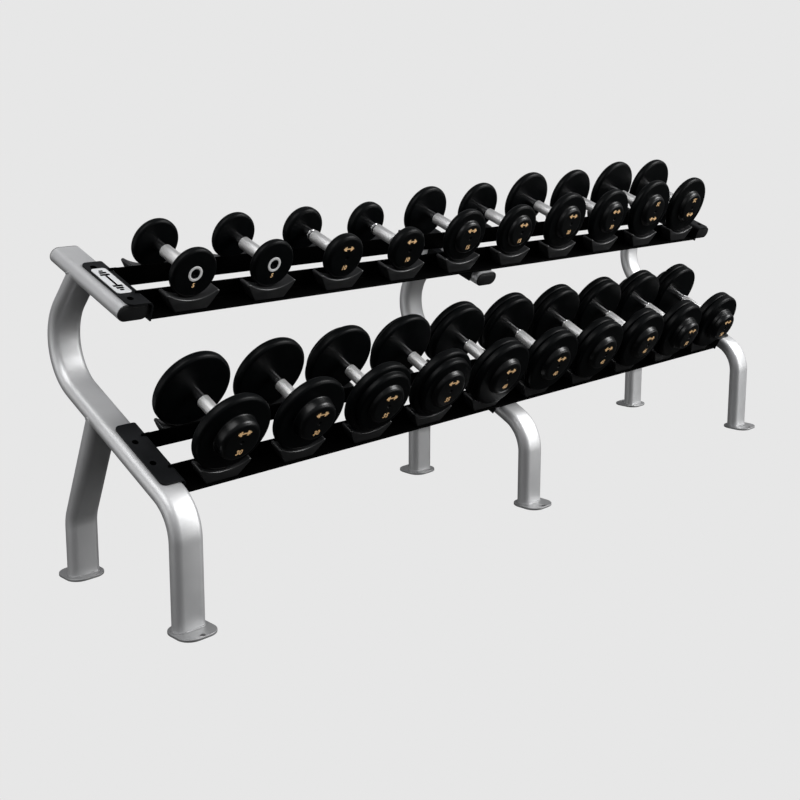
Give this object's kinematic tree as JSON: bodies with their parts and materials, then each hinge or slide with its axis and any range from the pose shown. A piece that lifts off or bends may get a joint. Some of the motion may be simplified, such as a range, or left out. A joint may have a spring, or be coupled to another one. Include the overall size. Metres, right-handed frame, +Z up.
{
  "type": "dumbbell rack",
  "caption": "Two-tier sloping dumbbell rack on bent oval-tube frames, with angle-steel rails, moulded saddles and lift-off round-head dumbbells.",
  "frame": {"origin": "on the floor, below the middle of the whole object", "axes": "+X along the rack to the right as seen from the front, -Y toward the user in front, +Z up"},
  "size_m": [2.457, 0.5583, 0.9423],
  "materials": {
    "arm_cap_front_left_material": "moulded black plug",
    "arm_cap_front_middle_material": "moulded black plug",
    "arm_cap_front_right_material": "moulded black plug",
    "arm_cap_rear_left_material": "moulded black plug",
    "arm_cap_rear_middle_material": "moulded black plug",
    "arm_cap_rear_right_material": "moulded black plug",
    "arm_left_material": "satin silver powder coat",
    "arm_middle_material": "satin silver powder coat",
    "arm_right_material": "satin silver powder coat",
    "badge_material": "pale blank plate",
    "bracket_lower_left_material": "satin black powder coat on folded plate",
    "bracket_lower_middle_left_material": "satin black powder coat on folded plate",
    "bracket_lower_middle_right_material": "satin black powder coat on folded plate",
    "bracket_lower_right_material": "satin black powder coat on folded plate",
    "bracket_upper_left_material": "satin black powder coat on folded plate",
    "bracket_upper_middle_left_material": "satin black powder coat on folded plate",
    "bracket_upper_middle_right_material": "satin black powder coat on folded plate",
    "bracket_upper_right_material": "satin black powder coat on folded plate",
    "dumbbell_lower_01_30lb_material": "iron under a satin black urethane coat, with a steel handle",
    "dumbbell_lower_02_30lb_material": "iron under a satin black urethane coat, with a steel handle",
    "dumbbell_lower_03_35lb_material": "iron under a satin black urethane coat, with a steel handle",
    "dumbbell_lower_04_35lb_material": "iron under a satin black urethane coat, with a steel handle",
    "dumbbell_lower_05_40lb_material": "iron under a satin black urethane coat, with a steel handle",
    "dumbbell_lower_06_40lb_material": "iron under a satin black urethane coat, with a steel handle",
    "dumbbell_lower_07_45lb_material": "iron under a satin black urethane coat, with a steel handle",
    "dumbbell_lower_08_45lb_material": "iron under a satin black urethane coat, with a steel handle",
    "dumbbell_lower_09_50lb_material": "iron under a satin black urethane coat, with a steel handle",
    "dumbbell_lower_10_50lb_material": "iron under a satin black urethane coat, with a steel handle",
    "dumbbell_upper_01_5lb_material": "iron under a satin black urethane coat, with a steel handle",
    "dumbbell_upper_02_5lb_material": "iron under a satin black urethane coat, with a steel handle",
    "dumbbell_upper_03_10lb_material": "iron under a satin black urethane coat, with a steel handle",
    "dumbbell_upper_04_10lb_material": "iron under a satin black urethane coat, with a steel handle",
    "dumbbell_upper_05_15lb_material": "iron under a satin black urethane coat, with a steel handle",
    "dumbbell_upper_06_15lb_material": "iron under a satin black urethane coat, with a steel handle",
    "dumbbell_upper_07_20lb_material": "iron under a satin black urethane coat, with a steel handle",
    "dumbbell_upper_08_20lb_material": "iron under a satin black urethane coat, with a steel handle",
    "dumbbell_upper_09_25lb_material": "iron under a satin black urethane coat, with a steel handle",
    "dumbbell_upper_10_25lb_material": "iron under a satin black urethane coat, with a steel handle",
    "foot_front_left_material": "satin silver powder coat",
    "foot_front_middle_material": "satin silver powder coat",
    "foot_front_right_material": "satin silver powder coat",
    "foot_rear_left_material": "satin silver powder coat",
    "foot_rear_middle_material": "satin silver powder coat",
    "foot_rear_right_material": "satin silver powder coat",
    "rail_lower_front_material": "satin black paint on rolled steel angle",
    "rail_lower_rear_material": "satin black paint on rolled steel angle",
    "rail_upper_front_material": "satin black paint on rolled steel angle",
    "rail_upper_rear_material": "satin black paint on rolled steel angle",
    "rear_leg_left_material": "satin silver powder coat",
    "rear_leg_middle_material": "satin silver powder coat",
    "rear_leg_right_material": "satin silver powder coat",
    "saddles_lower_front_material": "moulded dark grey urethane",
    "saddles_lower_rear_material": "moulded dark grey urethane",
    "saddles_upper_front_material": "moulded dark grey urethane",
    "saddles_upper_rear_material": "moulded dark grey urethane",
    "upright_left_material": "satin silver powder coat",
    "upright_middle_material": "satin silver powder coat",
    "upright_right_material": "satin silver powder coat"
  },
  "bodies": {
    "rack": {"arm_cap_front_left": "arm_cap_front_left_material", "arm_cap_front_middle": "arm_cap_front_middle_material", "arm_cap_front_right": "arm_cap_front_right_material", "arm_cap_rear_left": "arm_cap_rear_left_material", "arm_cap_rear_middle": "arm_cap_rear_middle_material", "arm_cap_rear_right": "arm_cap_rear_right_material", "arm_left": "arm_left_material", "arm_middle": "arm_middle_material", "arm_right": "arm_right_material", "badge": "badge_material", "bracket_lower_left": "bracket_lower_left_material", "bracket_lower_middle_left": "bracket_lower_middle_left_material", "bracket_lower_middle_right": "bracket_lower_middle_right_material", "bracket_lower_right": "bracket_lower_right_material", "bracket_upper_left": "bracket_upper_left_material", "bracket_upper_middle_left": "bracket_upper_middle_left_material", "bracket_upper_middle_right": "bracket_upper_middle_right_material", "bracket_upper_right": "bracket_upper_right_material", "foot_front_left": "foot_front_left_material", "foot_front_middle": "foot_front_middle_material", "foot_front_right": "foot_front_right_material", "foot_rear_left": "foot_rear_left_material", "foot_rear_middle": "foot_rear_middle_material", "foot_rear_right": "foot_rear_right_material", "rail_lower_front": "rail_lower_front_material", "rail_lower_rear": "rail_lower_rear_material", "rail_upper_front": "rail_upper_front_material", "rail_upper_rear": "rail_upper_rear_material", "rear_leg_left": "rear_leg_left_material", "rear_leg_middle": "rear_leg_middle_material", "rear_leg_right": "rear_leg_right_material", "saddles_lower_front": "saddles_lower_front_material", "saddles_lower_rear": "saddles_lower_rear_material", "saddles_upper_front": "saddles_upper_front_material", "saddles_upper_rear": "saddles_upper_rear_material", "upright_left": "upright_left_material", "upright_middle": "upright_middle_material", "upright_right": "upright_right_material"},
    "dumbbell_lower_01_30lb_body": {"dumbbell_lower_01_30lb": "dumbbell_lower_01_30lb_material"},
    "dumbbell_lower_02_30lb_body": {"dumbbell_lower_02_30lb": "dumbbell_lower_02_30lb_material"},
    "dumbbell_lower_03_35lb_body": {"dumbbell_lower_03_35lb": "dumbbell_lower_03_35lb_material"},
    "dumbbell_lower_04_35lb_body": {"dumbbell_lower_04_35lb": "dumbbell_lower_04_35lb_material"},
    "dumbbell_lower_05_40lb_body": {"dumbbell_lower_05_40lb": "dumbbell_lower_05_40lb_material"},
    "dumbbell_lower_06_40lb_body": {"dumbbell_lower_06_40lb": "dumbbell_lower_06_40lb_material"},
    "dumbbell_lower_07_45lb_body": {"dumbbell_lower_07_45lb": "dumbbell_lower_07_45lb_material"},
    "dumbbell_lower_08_45lb_body": {"dumbbell_lower_08_45lb": "dumbbell_lower_08_45lb_material"},
    "dumbbell_lower_09_50lb_body": {"dumbbell_lower_09_50lb": "dumbbell_lower_09_50lb_material"},
    "dumbbell_lower_10_50lb_body": {"dumbbell_lower_10_50lb": "dumbbell_lower_10_50lb_material"},
    "dumbbell_upper_01_5lb_body": {"dumbbell_upper_01_5lb": "dumbbell_upper_01_5lb_material"},
    "dumbbell_upper_02_5lb_body": {"dumbbell_upper_02_5lb": "dumbbell_upper_02_5lb_material"},
    "dumbbell_upper_03_10lb_body": {"dumbbell_upper_03_10lb": "dumbbell_upper_03_10lb_material"},
    "dumbbell_upper_04_10lb_body": {"dumbbell_upper_04_10lb": "dumbbell_upper_04_10lb_material"},
    "dumbbell_upper_05_15lb_body": {"dumbbell_upper_05_15lb": "dumbbell_upper_05_15lb_material"},
    "dumbbell_upper_06_15lb_body": {"dumbbell_upper_06_15lb": "dumbbell_upper_06_15lb_material"},
    "dumbbell_upper_07_20lb_body": {"dumbbell_upper_07_20lb": "dumbbell_upper_07_20lb_material"},
    "dumbbell_upper_08_20lb_body": {"dumbbell_upper_08_20lb": "dumbbell_upper_08_20lb_material"},
    "dumbbell_upper_09_25lb_body": {"dumbbell_upper_09_25lb": "dumbbell_upper_09_25lb_material"},
    "dumbbell_upper_10_25lb_body": {"dumbbell_upper_10_25lb": "dumbbell_upper_10_25lb_material"}
  },
  "joints": [
    {"name": "lift_lower_01_30lb", "type": "slide", "parent": "rack", "child": "dumbbell_lower_01_30lb_body", "axis": [0, -0.4431, 0.8965], "range_m": [0, 0.08]},
    {"name": "lift_lower_02_30lb", "type": "slide", "parent": "rack", "child": "dumbbell_lower_02_30lb_body", "axis": [0, -0.4431, 0.8965], "range_m": [0, 0.08]},
    {"name": "lift_lower_03_35lb", "type": "slide", "parent": "rack", "child": "dumbbell_lower_03_35lb_body", "axis": [0, -0.4431, 0.8965], "range_m": [0, 0.08]},
    {"name": "lift_lower_04_35lb", "type": "slide", "parent": "rack", "child": "dumbbell_lower_04_35lb_body", "axis": [0, -0.4431, 0.8965], "range_m": [0, 0.08]},
    {"name": "lift_lower_05_40lb", "type": "slide", "parent": "rack", "child": "dumbbell_lower_05_40lb_body", "axis": [0, -0.4431, 0.8965], "range_m": [0, 0.08]},
    {"name": "lift_lower_06_40lb", "type": "slide", "parent": "rack", "child": "dumbbell_lower_06_40lb_body", "axis": [0, -0.4431, 0.8965], "range_m": [0, 0.08]},
    {"name": "lift_lower_07_45lb", "type": "slide", "parent": "rack", "child": "dumbbell_lower_07_45lb_body", "axis": [0, -0.4431, 0.8965], "range_m": [0, 0.08]},
    {"name": "lift_lower_08_45lb", "type": "slide", "parent": "rack", "child": "dumbbell_lower_08_45lb_body", "axis": [0, -0.4431, 0.8965], "range_m": [0, 0.08]},
    {"name": "lift_lower_09_50lb", "type": "slide", "parent": "rack", "child": "dumbbell_lower_09_50lb_body", "axis": [0, -0.4431, 0.8965], "range_m": [0, 0.08]},
    {"name": "lift_lower_10_50lb", "type": "slide", "parent": "rack", "child": "dumbbell_lower_10_50lb_body", "axis": [0, -0.4431, 0.8965], "range_m": [0, 0.08]},
    {"name": "lift_upper_01_5lb", "type": "slide", "parent": "rack", "child": "dumbbell_upper_01_5lb_body", "axis": [0, -0.3469, 0.9379], "range_m": [0, 0.12]},
    {"name": "lift_upper_02_5lb", "type": "slide", "parent": "rack", "child": "dumbbell_upper_02_5lb_body", "axis": [0, -0.3469, 0.9379], "range_m": [0, 0.12]},
    {"name": "lift_upper_03_10lb", "type": "slide", "parent": "rack", "child": "dumbbell_upper_03_10lb_body", "axis": [0, -0.3469, 0.9379], "range_m": [0, 0.12]},
    {"name": "lift_upper_04_10lb", "type": "slide", "parent": "rack", "child": "dumbbell_upper_04_10lb_body", "axis": [0, -0.3469, 0.9379], "range_m": [0, 0.12]},
    {"name": "lift_upper_05_15lb", "type": "slide", "parent": "rack", "child": "dumbbell_upper_05_15lb_body", "axis": [0, -0.3469, 0.9379], "range_m": [0, 0.12]},
    {"name": "lift_upper_06_15lb", "type": "slide", "parent": "rack", "child": "dumbbell_upper_06_15lb_body", "axis": [0, -0.3469, 0.9379], "range_m": [0, 0.12]},
    {"name": "lift_upper_07_20lb", "type": "slide", "parent": "rack", "child": "dumbbell_upper_07_20lb_body", "axis": [0, -0.3469, 0.9379], "range_m": [0, 0.12]},
    {"name": "lift_upper_08_20lb", "type": "slide", "parent": "rack", "child": "dumbbell_upper_08_20lb_body", "axis": [0, -0.3469, 0.9379], "range_m": [0, 0.12]},
    {"name": "lift_upper_09_25lb", "type": "slide", "parent": "rack", "child": "dumbbell_upper_09_25lb_body", "axis": [0, -0.3469, 0.9379], "range_m": [0, 0.12]},
    {"name": "lift_upper_10_25lb", "type": "slide", "parent": "rack", "child": "dumbbell_upper_10_25lb_body", "axis": [0, -0.3469, 0.9379], "range_m": [0, 0.12]}
  ]
}
